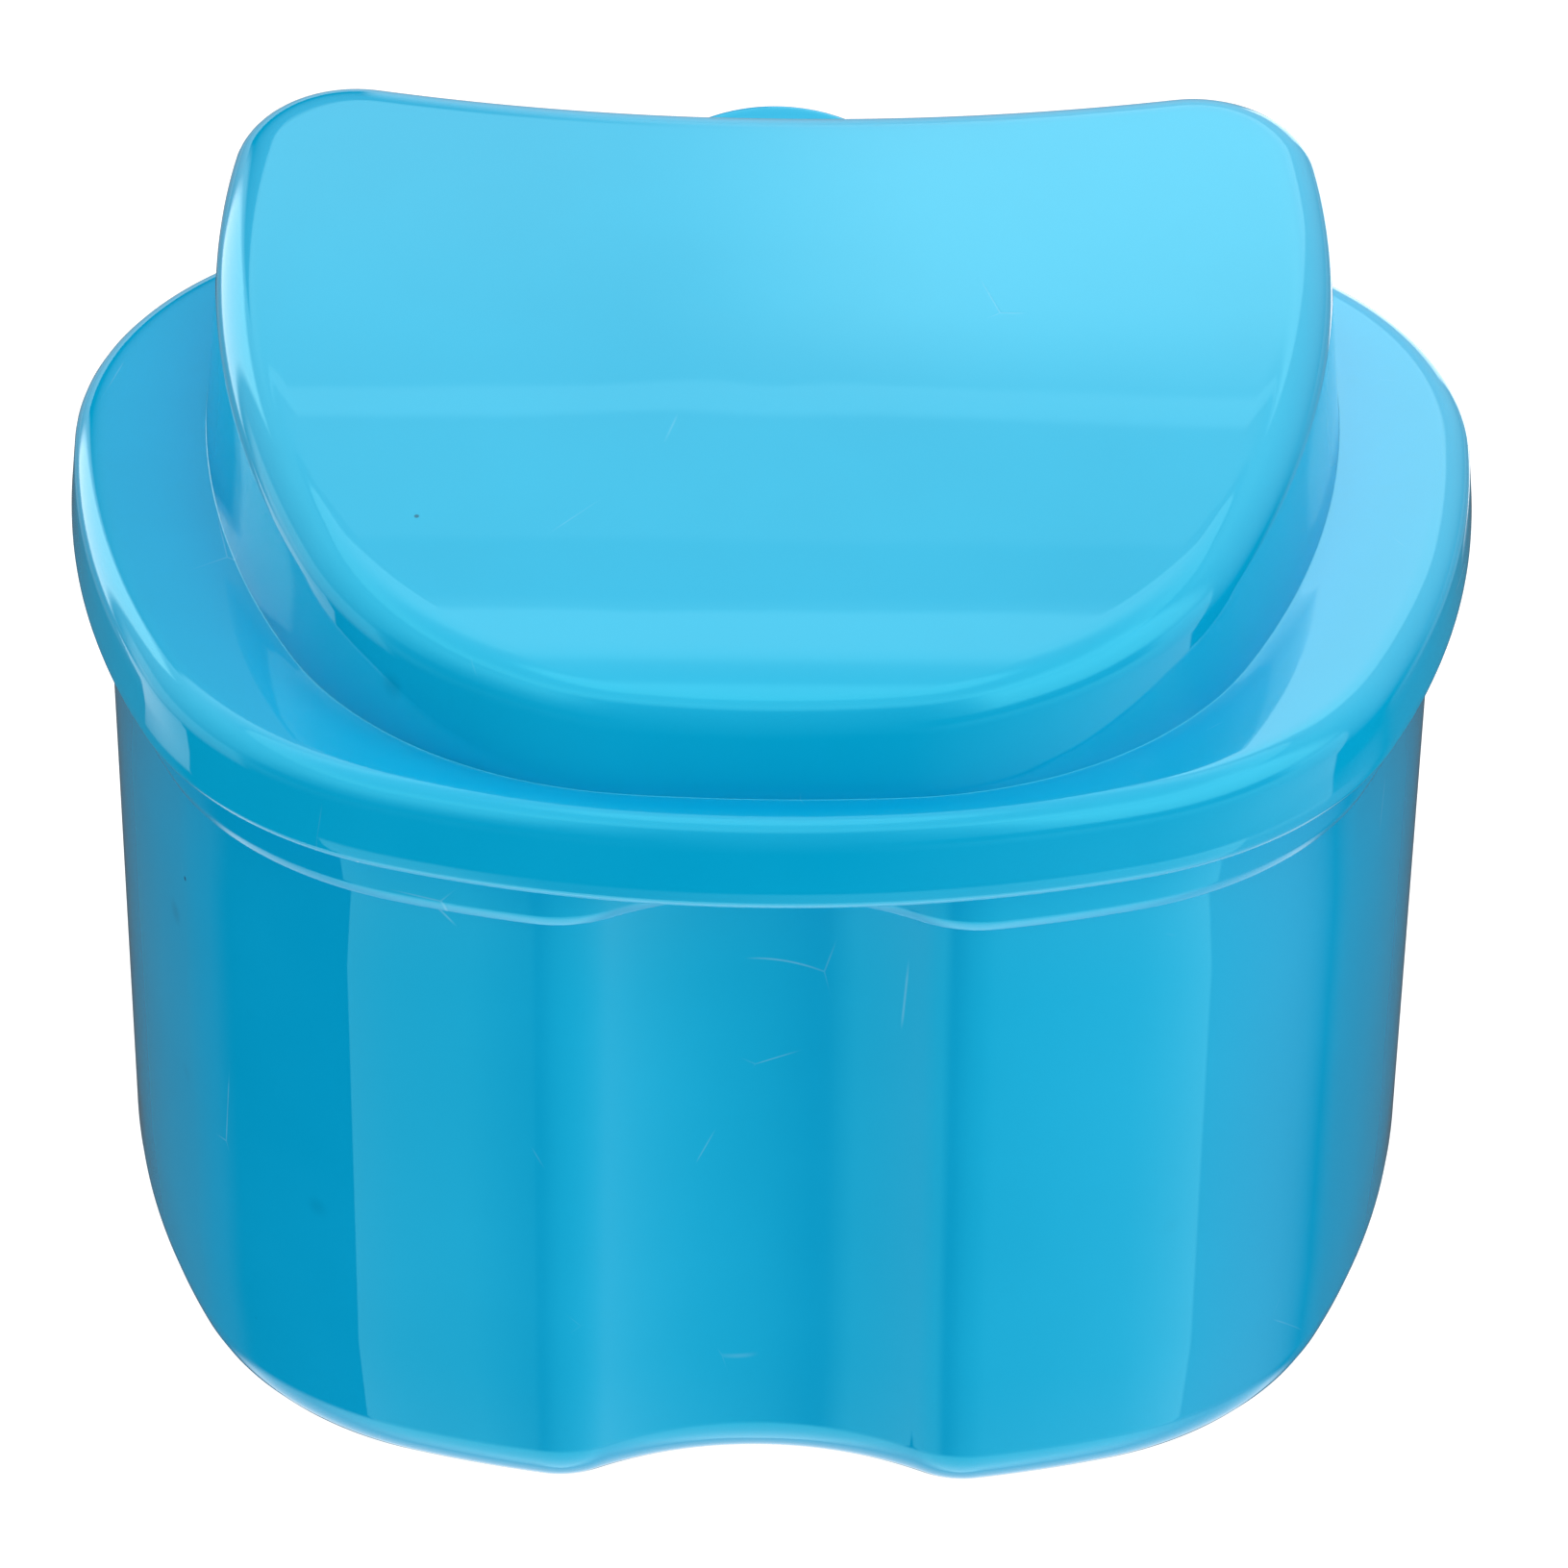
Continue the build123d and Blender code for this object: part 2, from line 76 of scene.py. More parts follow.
LID_TOP = 55.05
LID_WALL = 1.6
LID_EDGE_FILLET = 2.05
SKIRT_DEPTH = 5.95
SKIRT_WALL = 1.15
SKIRT_LEAN = 0.3  # how far in its face stands at the top
SKIRT_BELLY = 1.3  # and how far above its bottom it turns upright
SKIRT_BEND = 6.0  # the radius of that turn
SKIRT_LIP_ROUND = 0.8
SKIRT_INNER_ROUND = 0.3
LIP_REACH = 0.12  # how far the skirt's lower part stands out past the rim
TAB_WIDTH = 22.0
TAB_REACH = 9.3
TAB_SLOPE = np.radians(18.3)
TAB_BEND_RADIUS = 6.0
TAB_ROOT_FILLET = 3.0
TAB_ROOT_SETBACK = 1.7  # how far in from the rim its root arcs meet the flange
TAB_HIDDEN_CORNER = 1.0  # the round of its plan inside the flange
TAB_EDGE = 0.5
TAB_SINK = 0.03  # how far its root lies inside the flange's two faces

CUP_WALL = 1.6
CUP_FLOOR = 2.0
CUP_DRAFT = np.radians(0.85)
CUP_LIP_ROUND = 0.4
CUP_BORE_BEND = 4.0  # the radius of the bore's turn from upright to the draft
CUP_FLOOR_FILLET = 3.0
COLLAR_STEP = 0.65
COLLAR_SHOWN = 3.35
COLLAR_ROOT = 0.12
COLLAR_EDGE = 0.25
COLLAR_BEVEL = (0.3, 0.8)  # how far in and how far up its lower edge is bevelled
COLLAR_BEVEL_BEND = 1.0
CUP_FOOT_FILLET = 4.2
FOOT_GROOVE_INSET = 4.6
FOOT_GROOVE_WIDTH = 1.0
FOOT_GROOVE_DEPTH = 0.5
FOOT_GROOVE_EDGE = 0.2
LEDGE_WIDTH = 1.0
LEDGE_CORNER = 0.25
LEDGE_EDGE = 0.3
BASKET_FLANGE = 1.4
SKIRT_CLEARANCE = 0.25
LID_OVER_FLANGE = 0.2

SKIRT_BOTTOM = LID_TOP - SKIRT_DEPTH
CUP_TOP = LID_TOP - LID_WALL
COLLAR_BOTTOM = SKIRT_BOTTOM - COLLAR_SHOWN
COLLAR_INSET = SKIRT_WALL + SKIRT_CLEARANCE
CUP_INSET = COLLAR_INSET + COLLAR_STEP
CUP_FOOT_INSET = CUP_INSET + COLLAR_BOTTOM * np.tan(CUP_DRAFT)
CUP_BORE_INSET = CUP_INSET + CUP_WALL
CUP_BORE_FOOT_INSET = CUP_BORE_INSET + (COLLAR_BOTTOM - CUP_FLOOR) * np.tan(CUP_DRAFT)
RECESS_INSET = CUP_BORE_INSET - LEDGE_WIDTH
LEDGE_Z = CUP_TOP - LID_OVER_FLANGE - BASKET_FLANGE

# ---------------------------------------------------------------- how finely the surfaces are divided
FOCUS = np.array([0.0, -5.0])  # the outlines are read by the angle about this point
AROUND = 600  # points round an outline
TAB_AROUND = 240
ARC_SAMPLES = 900  # points of each arc, from which an outline's points are read
TURN_STEP = np.radians(12)  # of a profile's rounded corners
NO_TURN = 1e-3  # a corner that turns less than this stays as it is
PROFILE_SPACING, SKIRT_SPACING = 6.0, 1.5
GROOVE_RUN, FLOOR_RUN, FLANGE_RUN, PLATE_RUN, TAB_RUN = 0.25, 4.0, 0.1, 1.0, 0.3  # past the last corner
CAP_SHARES = (0.92, 0.8, 0.6, 0.4, 0.2)  # rows that close the cup's base and floor
TAB_CAP_SHARES = (0.9, 0.75, 0.6, 0.4, 0.2)
TOP_SHARES = (0.15, 0.35, 0.55, 0.7, 0.8, 0.85, 0.88, 0.9, 0.92, 0.94, 0.96, 0.98)  # the dome's top
WALL_SHARES = (0.25, 0.5, 0.75)
FLANGE_SHARES = np.linspace(0, 1, 7)[1:-1]
EDGE_STEPS, INNER_EDGE_STEPS, CREASE_STEPS = 12, 10, 5
BROW_REACH = 0.97  # how far round the brow's arc the top is followed, as a share of its radius
WIDEST_TOUCH = 12.0  # the edge round touches the top nearer to the wall than this
HALVINGS = 40  # of that span
SHARP_EDGE = np.radians(30)
BASKET_SHARP_EDGE = np.radians(32)
BASKET_WELD = 1e-6  # in metres


# ---------------------------------------------------------------- outlines
def joined_centre(a, b, radius, side):
    """The centre of the arc of that radius that runs tangent over circles a and b."""
    reach_a, reach_b = abs(radius - a.r), abs(radius - b.r)
    span = np.hypot(b.x - a.x, b.y - a.y)
    along = (reach_a**2 - reach_b**2 + span**2) / (2 * span)
    across = side * np.sqrt(reach_a**2 - along**2)
    ux, uy = (b.x - a.x) / span, (b.y - a.y) / span
    return Round(a.x + along * ux - across * uy, a.y + along * uy + across * ux, radius)


def mirrored(a):
    return Round(-a.x, a.y, a.r)


def tangent_point(a, b):
    """Where two neighbouring arcs touch, on the line through their centres."""
    gap = np.hypot(b.x - a.x, b.y - a.y)
    sign = 1 if a.r * b.r < 0 or abs(a.r) > abs(b.r) else -1
    reach = sign * abs(a.r) / gap
    return np.array([a.x + (b.x - a.x) * reach, a.y + (b.y - a.y) * reach])


def closed_ring(front_corner, back_corner, front, side, back, notch=None):
    """The circles of a whole outline, anticlockwise from its front."""
    left_front, left_back = mirrored(front_corner), mirrored(back_corner)
    front_arc = joined_centre(left_front, front_corner, front, 1)
    back_arc = joined_centre(back_corner, left_back, back, 1 if back > 0 else -1)
    right_side = joined_centre(front_corner, back_corner, side, 1)
    ring = [front_corner, right_side, back_corner, back_arc, left_back, mirrored(right_side), left_front]
    if notch is None:
        return [front_arc] + ring
    hollow, lobe_radius = notch
    centre = joined_centre(front_arc, hollow, lobe_radius, 1)
    lobe = Round(abs(centre.x), centre.y, lobe_radius)
    return [hollow, lobe, front_arc] + ring + [front_arc, mirrored(lobe)]


def arc_angles(rounds):
    """For each arc of the ring, its first angle and how far it sweeps, below 0 for a hollow arc."""
    joints = [tangent_point(a, b) for a, b in zip(rounds, rounds[1:] + rounds[:1])]
    for a, start, end in zip(rounds, joints[-1:] + joints[:-1], joints):
        first = np.arctan2(start[1] - a.y, start[0] - a.x)
        sweep = (np.arctan2(end[1] - a.y, end[0] - a.x) - first) % (2 * np.pi)
        yield a, first, sweep if a.r > 0 else sweep - 2 * np.pi


class Outline:
    """A ring of tangent arcs, read at equal angles about a focus: its points and the unit
    normals that point out of it. A point at an inset is the point less inset times the normal."""

    def __init__(self, rounds, focus=FOCUS, around=AROUND):
        share = np.linspace(0, 1, ARC_SAMPLES, endpoint=False)
        points, normals = [], []
        for a, first, sweep in arc_angles(rounds):
            turn = first + sweep * share
            unit = np.stack([np.cos(turn), np.sin(turn)], axis=1)
            points.append([a.x, a.y] + abs(a.r) * unit)
            normals.append(np.sign(a.r) * unit)
        points, normals = np.concatenate(points), np.concatenate(normals)
        bearing = np.arctan2(points[:, 1] - focus[1], points[:, 0] - focus[0])
        order = np.argsort(bearing)
        wanted = np.linspace(-np.pi, np.pi, around, endpoint=False)

        def read(values):
            return np.interp(wanted, bearing[order], values[order], period=2 * np.pi)

        self.points = np.stack([read(points[:, 0]), read(points[:, 1])], axis=1)
        normals = np.stack([read(normals[:, 0]), read(normals[:, 1])], axis=1)
        self.normals = normals / np.linalg.norm(normals, axis=1, keepdims=True)

    def at(self, inset):
        """The outline moved in by inset, which is a number or one value for each point."""
        return self.points - np.reshape(inset, (-1, 1)) * self.normals


RIM_ARCS = (RIM_FRONT_CORNER, RIM_BACK_CORNER, RIM_FRONT_RADIUS, RIM_SIDE_RADIUS, RIM_BACK_RADIUS)
DOME_RADII = (DOME_FRONT_RADIUS, DOME_SIDE_RADIUS, -DOME_BACK_HOLLOW_RADIUS)
NOTCH = (Round(0, NOTCH_APEX_Y - NOTCH_RADIUS, -NOTCH_RADIUS), NOTCH_LOBE_RADIUS)
RIM = Outline(closed_ring(*RIM_ARCS))
KIDNEY = Outline(closed_ring(*RIM_ARCS, NOTCH))
DOME = Outline(closed_ring(DOME_FRONT_CORNER, DOME_BACK_CORNER, *DOME_RADII))
RIM_FRONT_Y = RIM.points[:, 1].min()
RIM_BACK_Y = RIM.points[:, 1].max()
TAB_TIP_Y = RIM_BACK_Y + TAB_REACH
MIDDLE_Y = (RIM_FRONT_Y - LIP_REACH + TAB_TIP_Y) / 2


# ---------------------------------------------------------------- surfaces
def rounded(corners, spacing=PROFILE_SPACING):
    """A profile through the corners, each (inset, height, radius). Every corner is cut back by
    radius times the tangent of half its turn and filled with that arc, and long straight runs
    are divided to the spacing."""
    corners = np.array(corners, float)
    path = [corners[:1, :2]]
    for before, here, after in zip(corners, corners[1:], corners[2:]):
        back = before[:2] - here[:2]
        ahead = after[:2] - here[:2]
        back /= np.linalg.norm(back)
        ahead /= np.linalg.norm(ahead)
        turn = np.pi - np.arccos(np.clip(back @ ahead, -1, 1))
        if here[2] == 0 or turn < NO_TURN:
            path.append(here[None, :2])
            continue
        cut = here[2] * np.tan(turn / 2)
        middle = here[:2] + (back + ahead) / np.linalg.norm(back + ahead) * here[2] / np.cos(turn / 2)
        steps = max(3, int(np.ceil(turn / TURN_STEP)) + 1)
        first = here[:2] + back * cut - middle
        last = here[:2] + ahead * cut - middle
        share = np.linspace(0, 1, steps)[:, None]
        swept = np.sin((1 - share) * turn) * first + np.sin(share * turn) * last
        path.append(middle + swept / np.sin(turn))
    path.append(corners[-1:, :2])
    path = np.concatenate(path)
    runs = np.linalg.norm(np.diff(path, axis=0), axis=1)
    pieces = []
    for start, end, run in zip(path, path[1:], runs):
        parts = max(1, int(np.ceil(run / spacing)))
        pieces.append(start + (end - start) * np.linspace(0, 1, parts, endpoint=False)[:, None])
    return np.concatenate(pieces + [path[-1:]])


def carried(outline, profile):
    """The rows of a profile carried round an outline: point = outline - inset * normal, height."""
    return [level_row(outline.at(inset), height) for inset, height in profile]


def level_row(points, height):
    return np.column_stack([points, np.broadcast_to(height, len(points))])


def towards_middle(row, shares, focus=FOCUS):
    """Rows that shrink from a row towards the focus, at those shares of its size."""
    return [level_row(focus + (row[:, :2] - focus) * share, row[:, 2]) for share in shares]


def shell_mesh(name, rows, first_pole, last_pole):
    """A closed surface: the rows in order, joined by quads, and a fan to a pole at each end.
    The rows run anticlockwise, and the first pole is the upper one, so that faces point out."""
    grid = np.stack(rows)
    count, around = grid.shape[:2]
    points = np.concatenate([[first_pole], grid.reshape(-1, 3), [last_pole]])
    points[:, 1] -= MIDDLE_Y
    index = 1 + np.arange(count * around).reshape(count, around)
    ahead = np.roll(index, -1, axis=1)
    quads = np.stack([index[:-1], index[1:], ahead[1:], ahead[:-1]], axis=-1).reshape(-1, 4)
    start = np.stack([np.zeros(around, int), index[0], ahead[0]], axis=-1)
    end = np.stack([np.full(around, len(points) - 1), ahead[-1], index[-1]], axis=-1)
    return add_piece(name, points, [start, quads, end])


def add_piece(name, points, face_sets):
    """A mesh object from points in millimetres and arrays of faces, each with one face a row."""
    mesh = bpy.data.meshes.new(name)
    sizes = np.concatenate([np.full(len(f), f.shape[1]) for f in face_sets])
    corners = np.concatenate([f.ravel() for f in face_sets])
    mesh.vertices.add(len(points))
    mesh.vertices.foreach_set("co", (points * MM).astype(np.float32).ravel())
    mesh.loops.add(len(corners))
    mesh.loops.foreach_set("vertex_index", corners.astype(np.int32))
    mesh.polygons.add(len(sizes))
    mesh.polygons.foreach_set("loop_start", (np.cumsum(sizes) - sizes).astype(np.int32))
    mesh.polygons.foreach_set("use_smooth", np.ones(len(sizes), bool))
    mesh.update(calc_edges=True)
    mesh.validate()
    piece = bpy.data.objects.new(name, mesh)
    bpy.context.scene.collection.objects.link(piece)
    return piece


# ---------------------------------------------------------------- cup
def make_cup():
    """One surface from the middle of the base out to the foot, up the drafted wall with its
    collar, over the lip, down the ledge and the bore, and in over the floor. The rows are
    handed over in the other order, from the floor to the base."""
    groove_out = CUP_FOOT_INSET + FOOT_GROOVE_INSET
    groove_in = groove_out + FOOT_GROOVE_WIDTH
    profile = rounded(
        [
            (groove_in + GROOVE_RUN, 0, 0),
            (groove_in, 0, FOOT_GROOVE_EDGE),
            (groove_in, FOOT_GROOVE_DEPTH, FOOT_GROOVE_EDGE),
            (groove_out, FOOT_GROOVE_DEPTH, FOOT_GROOVE_EDGE),
            (groove_out, 0, FOOT_GROOVE_EDGE),
            (CUP_FOOT_INSET, 0, CUP_FOOT_FILLET),
            (CUP_INSET, COLLAR_BOTTOM, COLLAR_ROOT),
            (COLLAR_INSET + COLLAR_BEVEL[0], COLLAR_BOTTOM, COLLAR_EDGE),
            (COLLAR_INSET, COLLAR_BOTTOM + COLLAR_BEVEL[1], COLLAR_BEVEL_BEND),
            (COLLAR_INSET, CUP_TOP, CUP_LIP_ROUND),
            (RECESS_INSET, CUP_TOP, CUP_LIP_ROUND),
            (RECESS_INSET, LEDGE_Z, LEDGE_CORNER),
            (CUP_BORE_INSET, LEDGE_Z, LEDGE_EDGE),
            (CUP_BORE_INSET, COLLAR_BOTTOM, CUP_BORE_BEND),
            (CUP_BORE_FOOT_INSET, CUP_FLOOR, CUP_FLOOR_FILLET),
            (CUP_BORE_FOOT_INSET + FLOOR_RUN, CUP_FLOOR, 0),
        ]
    )
    rows = carried(KIDNEY, profile)
    base = towards_middle(rows[0], CAP_SHARES[::-1])
    floor = towards_middle(rows[-1], CAP_SHARES)
    upward = base + rows + floor
    return shell_mesh("cup_moulding", upward[::-1], (*FOCUS, CUP_FLOOR), (*FOCUS, 0))


# ---------------------------------------------------------------- lid
def crown(y, drop):
    """The height of the dome's top at y, and its slope towards the back: an arc from front to
    back, and in front of DOME_BROW_Y the smaller arc that touches it there. drop moves both
    arcs in by that much."""
    share = DOME_BROW_RADIUS / DOME_CROWN_RADIUS
    crest_z = LID_TOP + DOME_CREST_HEIGHT - DOME_CROWN_RADIUS
    touch_z = crest_z + np.sqrt(DOME_CROWN_RADIUS**2 - (DOME_BROW_Y - DOME_CREST_Y) ** 2)
    brow_y = DOME_BROW_Y + (DOME_CREST_Y - DOME_BROW_Y) * share
    brow_z = touch_z + (crest_z - touch_z) * share
    crown_radius, brow_radius = DOME_CROWN_RADIUS - drop, DOME_BROW_RADIUS - drop
    touch_y = brow_y + (DOME_BROW_Y - brow_y) * brow_radius / DOME_BROW_RADIUS
    on_brow = y < touch_y
    middle_y = np.where(on_brow, brow_y, DOME_CREST_Y)
    ahead = np.clip(middle_y - y, None, np.where(on_brow, BROW_REACH * brow_radius, np.inf))
    radius = np.where(on_brow, brow_radius, crown_radius)
    upright = np.sqrt(radius**2 - ahead**2)
    return np.where(on_brow, brow_z, crest_z) + upright, ahead / upright


def top_rows(inner, drop):
    """Rows of the dome's top between its middle and the first row of its edge round."""
    rows = []
    for share in TOP_SHARES:
        plan = FOCUS + (inner[:, :2] - FOCUS) * share
        rows.append(level_row(plan, crown(plan[:, 1], drop)[0]))
    return rows


def dome_rows(inset, drop, steps):
    """The rows of a dome from its middle out over the edge round and down to the wall. The
    round is a ball that rolls under the top and inside the wall, which leans in by the draft.
    In the upright plane along each normal its middle is a radius away from both, so where it
    touches the top is found by halving the span that holds it."""
    foot = DOME.at(inset)
    radius = DOME_EDGE_FILLET - drop

    def ball(touch):
        plan_y = foot[:, 1] - touch * DOME.normals[:, 1]
        height, slope = crown(plan_y, drop)
        slope = slope * -DOME.normals[:, 1]
        length = np.sqrt(1 + slope**2)
        return height - LID_TOP, slope, touch + radius * slope / length, height - LID_TOP - radius / length

    low, high = np.zeros(AROUND), np.full(AROUND, WIDEST_TOUCH)
    for _ in range(HALVINGS):
        touch = (low + high) / 2
        across, up = ball(touch)[2:]
        outside = across * np.cos(DOME_DRAFT) - up * np.sin(DOME_DRAFT) < radius
        low, high = np.where(outside, touch, low), np.where(outside, high, touch)
    _, slope, across, up = ball(touch)
    first = np.pi / 2 + np.arctan(slope)  # the ball's angles where it touches the top and the wall
    last = np.pi - DOME_DRAFT
    edge = []
    for share in np.linspace(0, 1, steps):
        angle = first + (last - first) * share
        plan = foot - (across + radius * np.cos(angle))[:, None] * DOME.normals
        edge.append(level_row(plan, LID_TOP + up + radius * np.sin(angle)))
    pole = (*FOCUS, float(crown(FOCUS[1], drop)[0]))
    return pole, top_rows(edge[0], drop) + edge


def wall_rows(start, end, shares):
    """Rows between two rows, for a wall or a flange that joins them in straight lines."""
    return [start + (end - start) * share for share in shares]


def crease_rows(edge_row):
    """The foot of the dome's wall: straight rows down to a hollow arc that meets the flange."""
    turn = np.pi / 2 - DOME_DRAFT
    middle_in = -DOME_CREASE * np.tan(turn / 2)
    middle_up = LID_TOP + DOME_CREASE
    rows = []
    for angle in np.linspace(DOME_DRAFT, np.pi / 2, CREASE_STEPS):
        across = middle_in + DOME_CREASE * np.cos(angle)
        rows.append(level_row(DOME.at(across), middle_up - DOME_CREASE * np.sin(angle)))
    return wall_rows(edge_row, rows[0], WALL_SHARES) + rows


def make_lid():
    """One surface: the dome's top and wall, the flange, the skirt that leans out to its lip, back
    up inside the skirt, under the flange and up into the hollow dome."""
    outer_pole, outer = dome_rows(0, 0, EDGE_STEPS)
    crease = crease_rows(outer[-1])
    skirt = carried(
        RIM,
        rounded(
            [
                (SKIRT_LEAN + LID_EDGE_FILLET + FLANGE_RUN, LID_TOP, 0),
                (SKIRT_LEAN, LID_TOP, LID_EDGE_FILLET),
                (-LIP_REACH, SKIRT_BOTTOM + SKIRT_BELLY, SKIRT_BEND),
                (-LIP_REACH, SKIRT_BOTTOM, SKIRT_LIP_ROUND),
                (SKIRT_WALL, SKIRT_BOTTOM, SKIRT_INNER_ROUND),
                (SKIRT_WALL, CUP_TOP, SKIRT_INNER_ROUND),
                (SKIRT_WALL + PLATE_RUN, CUP_TOP, 0),
            ],
            SKIRT_SPACING,
        ),
    )
    inner_pole, inner = dome_rows(LID_WALL, LID_WALL, INNER_EDGE_STEPS)
    mouth = carried(DOME, [(LID_WALL - out, CUP_TOP + up) for out, up in DOME_MOUTH_ROUND])
    flange = wall_rows(crease[-1], skirt[0], FLANGE_SHARES)
    under = wall_rows(skirt[-1], mouth[0], FLANGE_SHARES)
    inner_wall = wall_rows(mouth[-1], inner[-1], WALL_SHARES)
    rows = outer + crease + flange + skirt + under + mouth + inner_wall + inner[::-1]
    return shell_mesh("lid_moulding", rows, outer_pole, inner_pole)


def tab_rise(y):
    """How far the tab's top has risen at y, and the cosine of its slope there: an arc of the
    bend's radius from level to the slope, then a straight line."""
    ahead = np.maximum(y - RIM_BACK_Y, 0)
    bent = np.minimum(ahead, TAB_BEND_RADIUS * np.sin(TAB_SLOPE)) / TAB_BEND_RADIUS
    level_cosine = np.sqrt(1 - bent**2)
    straight = ahead - bent * TAB_BEND_RADIUS
    return TAB_BEND_RADIUS * (1 - level_cosine) + straight * np.tan(TAB_SLOPE), level_cosine


def make_tab():
    """The lift tab: a plate with rounded edges carried round its plan, then raised by
    height = flange top + rise(y) - depth / cos(slope). The plan is a round tip and two hollow
    arcs at the root, and its other end is closed inside the flange."""
    tip = Round(0, TAB_TIP_Y - TAB_WIDTH / 2, TAB_WIDTH / 2)
    root_y = RIM_BACK_Y - TAB_ROOT_SETBACK + TAB_ROOT_FILLET
    root_x = np.sqrt((tip.r + TAB_ROOT_FILLET) ** 2 - (root_y - tip.y) ** 2)
    corner = Round(root_x, root_y - TAB_ROOT_FILLET - TAB_HIDDEN_CORNER, TAB_HIDDEN_CORNER)
    root = Round(root_x, root_y, -TAB_ROOT_FILLET)
    inner = joined_centre(mirrored(corner), corner, 3 * TAB_WIDTH, 1)
    focus = np.array([0.0, RIM_BACK_Y + TAB_EDGE])
    plan = Outline([inner, corner, root, tip, mirrored(root), mirrored(corner)], focus, TAB_AROUND)
    depth = LID_WALL - 2 * TAB_SINK
    flat = TAB_EDGE + TAB_RUN
    rows = carried(plan, rounded([(flat, 0, 0), (0, 0, TAB_EDGE), (0, depth, TAB_EDGE), (flat, depth, 0)]))
    top = towards_middle(rows[0], TAB_CAP_SHARES[::-1], focus)
    rows = top + rows + towards_middle(rows[-1], TAB_CAP_SHARES, focus)
    poles = [level_row(focus[None], height) for height in (0, depth)]
    for row in rows + poles:
        rise, slope_cosine = tab_rise(row[:, 1])
        row[:, 2] = LID_TOP - TAB_SINK + rise - row[:, 2] / slope_cosine
    return shell_mesh("tab", rows, poles[0][0], poles[1][0])


def join(base, extra):
    """Joins a second closed surface to the first and keeps the corners between them sharp."""
    union = base.modifiers.new("union", "BOOLEAN")
    union.object = extra
    union.operation = "UNION"
    union.solver = "EXACT"
    evaluated = base.evaluated_get(bpy.context.evaluated_depsgraph_get())
    joined = bpy.data.meshes.new_from_object(evaluated)
    base.modifiers.clear()
    base.data = joined
    bpy.data.objects.remove(extra)
    joined.set_sharp_from_angle(angle=SHARP_EDGE)


cup = make_cup()
lid = make_lid()
join(lid, make_tab())
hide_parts("cup")
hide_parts("lid")
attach(cup, "cup_body")
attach(lid, "lid_body")

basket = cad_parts["basket"]
basket.data.polygons.foreach_set("use_smooth", np.ones(len(basket.data.polygons), bool))
weld = basket.modifiers.new("join_triangles", "WELD")
weld.merge_threshold = BASKET_WELD
split = basket.modifiers.new("sharp_edges", "EDGE_SPLIT")
split.split_angle = BASKET_SHARP_EDGE


# ---------------------------------------------------------------- shader maths
class Value:
    """A number in a node tree. Arithmetic on it adds the Math nodes that work it out."""

    def __init__(self, nodes, socket):
        self.nodes, self.socket = nodes, socket

    def math(self, operation, *others):
        inputs = dict(enumerate((self, *others)))
        return self.nodes.add("ShaderNodeMath", {"operation": operation}, inputs).out()

    def __add__(self, other):
        return self.math("ADD", other)

    def __sub__(self, other):
        return self.math("SUBTRACT", other)

    def __mul__(self, other):
        return self.math("MULTIPLY", other)

    def __rsub__(self, other):
        return (self * -1) + other

    __radd__ = __add__
    __rmul__ = __mul__


class Node:
    """A node that was added, whose outputs are read as values."""

    def __init__(self, nodes, node):
        self.nodes, self.node = nodes, node

    def out(self, name=0):
        return Value(self.nodes, self.node.outputs[name])


class Nodes:
    """Adds nodes to a tree, which starts out empty."""

    def __init__(self, tree):
        self.tree = tree
        tree.nodes.clear()

    def add(self, kind, settings=None, inputs=None):
        """A node of that type. Its settings are set first, and then each named or numbered input
        gets a number, a colour or the value that is linked to it."""
        node = self.tree.nodes.new(kind)
        for name, setting in (settings or {}).items():
            setattr(node, name, setting)
        for name, given in (inputs or {}).items():
            if isinstance(given, Value):
                self.tree.links.new(given.socket, node.inputs[name])
            else:
                node.inputs[name].default_value = given
        return Node(self, node)

    def step(self, value, start, end):
        """A soft step from 0 at start to 1 at end."""
        settings = {"interpolation_type": "SMOOTHSTEP"}
        inputs = {"Value": value, "From Min": start, "From Max": end}
        if start > end:
            inputs |= {"From Min": end, "From Max": start, "To Min": 1.0, "To Max": 0.0}
        return self.add("ShaderNodeMapRange", settings, inputs).out("Result")

    def band(self, value, low, high, soft):
        """1 between low and high, with soft edges that are that wide."""
        return self.step(value, low, low + soft) * self.step(value, high, high - soft)

    def line(self, value, start, end, first, last):
        """A straight ramp from first at start to last at end, level beyond them."""
        ends = {"From Min": start, "From Max": end, "To Min": first, "To Max": last}
        return self.add("ShaderNodeMapRange", {}, {"Value": value, **ends}).out("Result")


# ---------------------------------------------------------------- moulded plastic
CUP_BLUES = ((0.001, 0.345, 0.625, 1), (0.003, 0.365, 0.655, 1))
LID_BLUES = ((0.001, 0.37, 0.642, 1), (0.003, 0.392, 0.672, 1))
PLASTIC_SPECK = (0.0, 0.09, 0.2, 1)
STRESS_WHITE = (0.45, 0.75, 0.9, 1)
CUP_GLOSS_TINT = (0.0, 1.0, 0.99, 1)
LID_GLOSS_TINT = (0.22, 0.98, 0.96, 1)

# patches of noise: waves per metre, detail, and where a soft step through the noise starts and ends
COLOUR_DRIFT = (45.0, 3.0, 0.3, 0.7)
NICKS = (900.0, 2.0, 0.66, 0.7)
NICKED_PATCHES = (70.0, 1.0, 0.52, 0.6)
SCRATCHED_PATCHES = (95.0, 2.0, 0.64, 0.72)
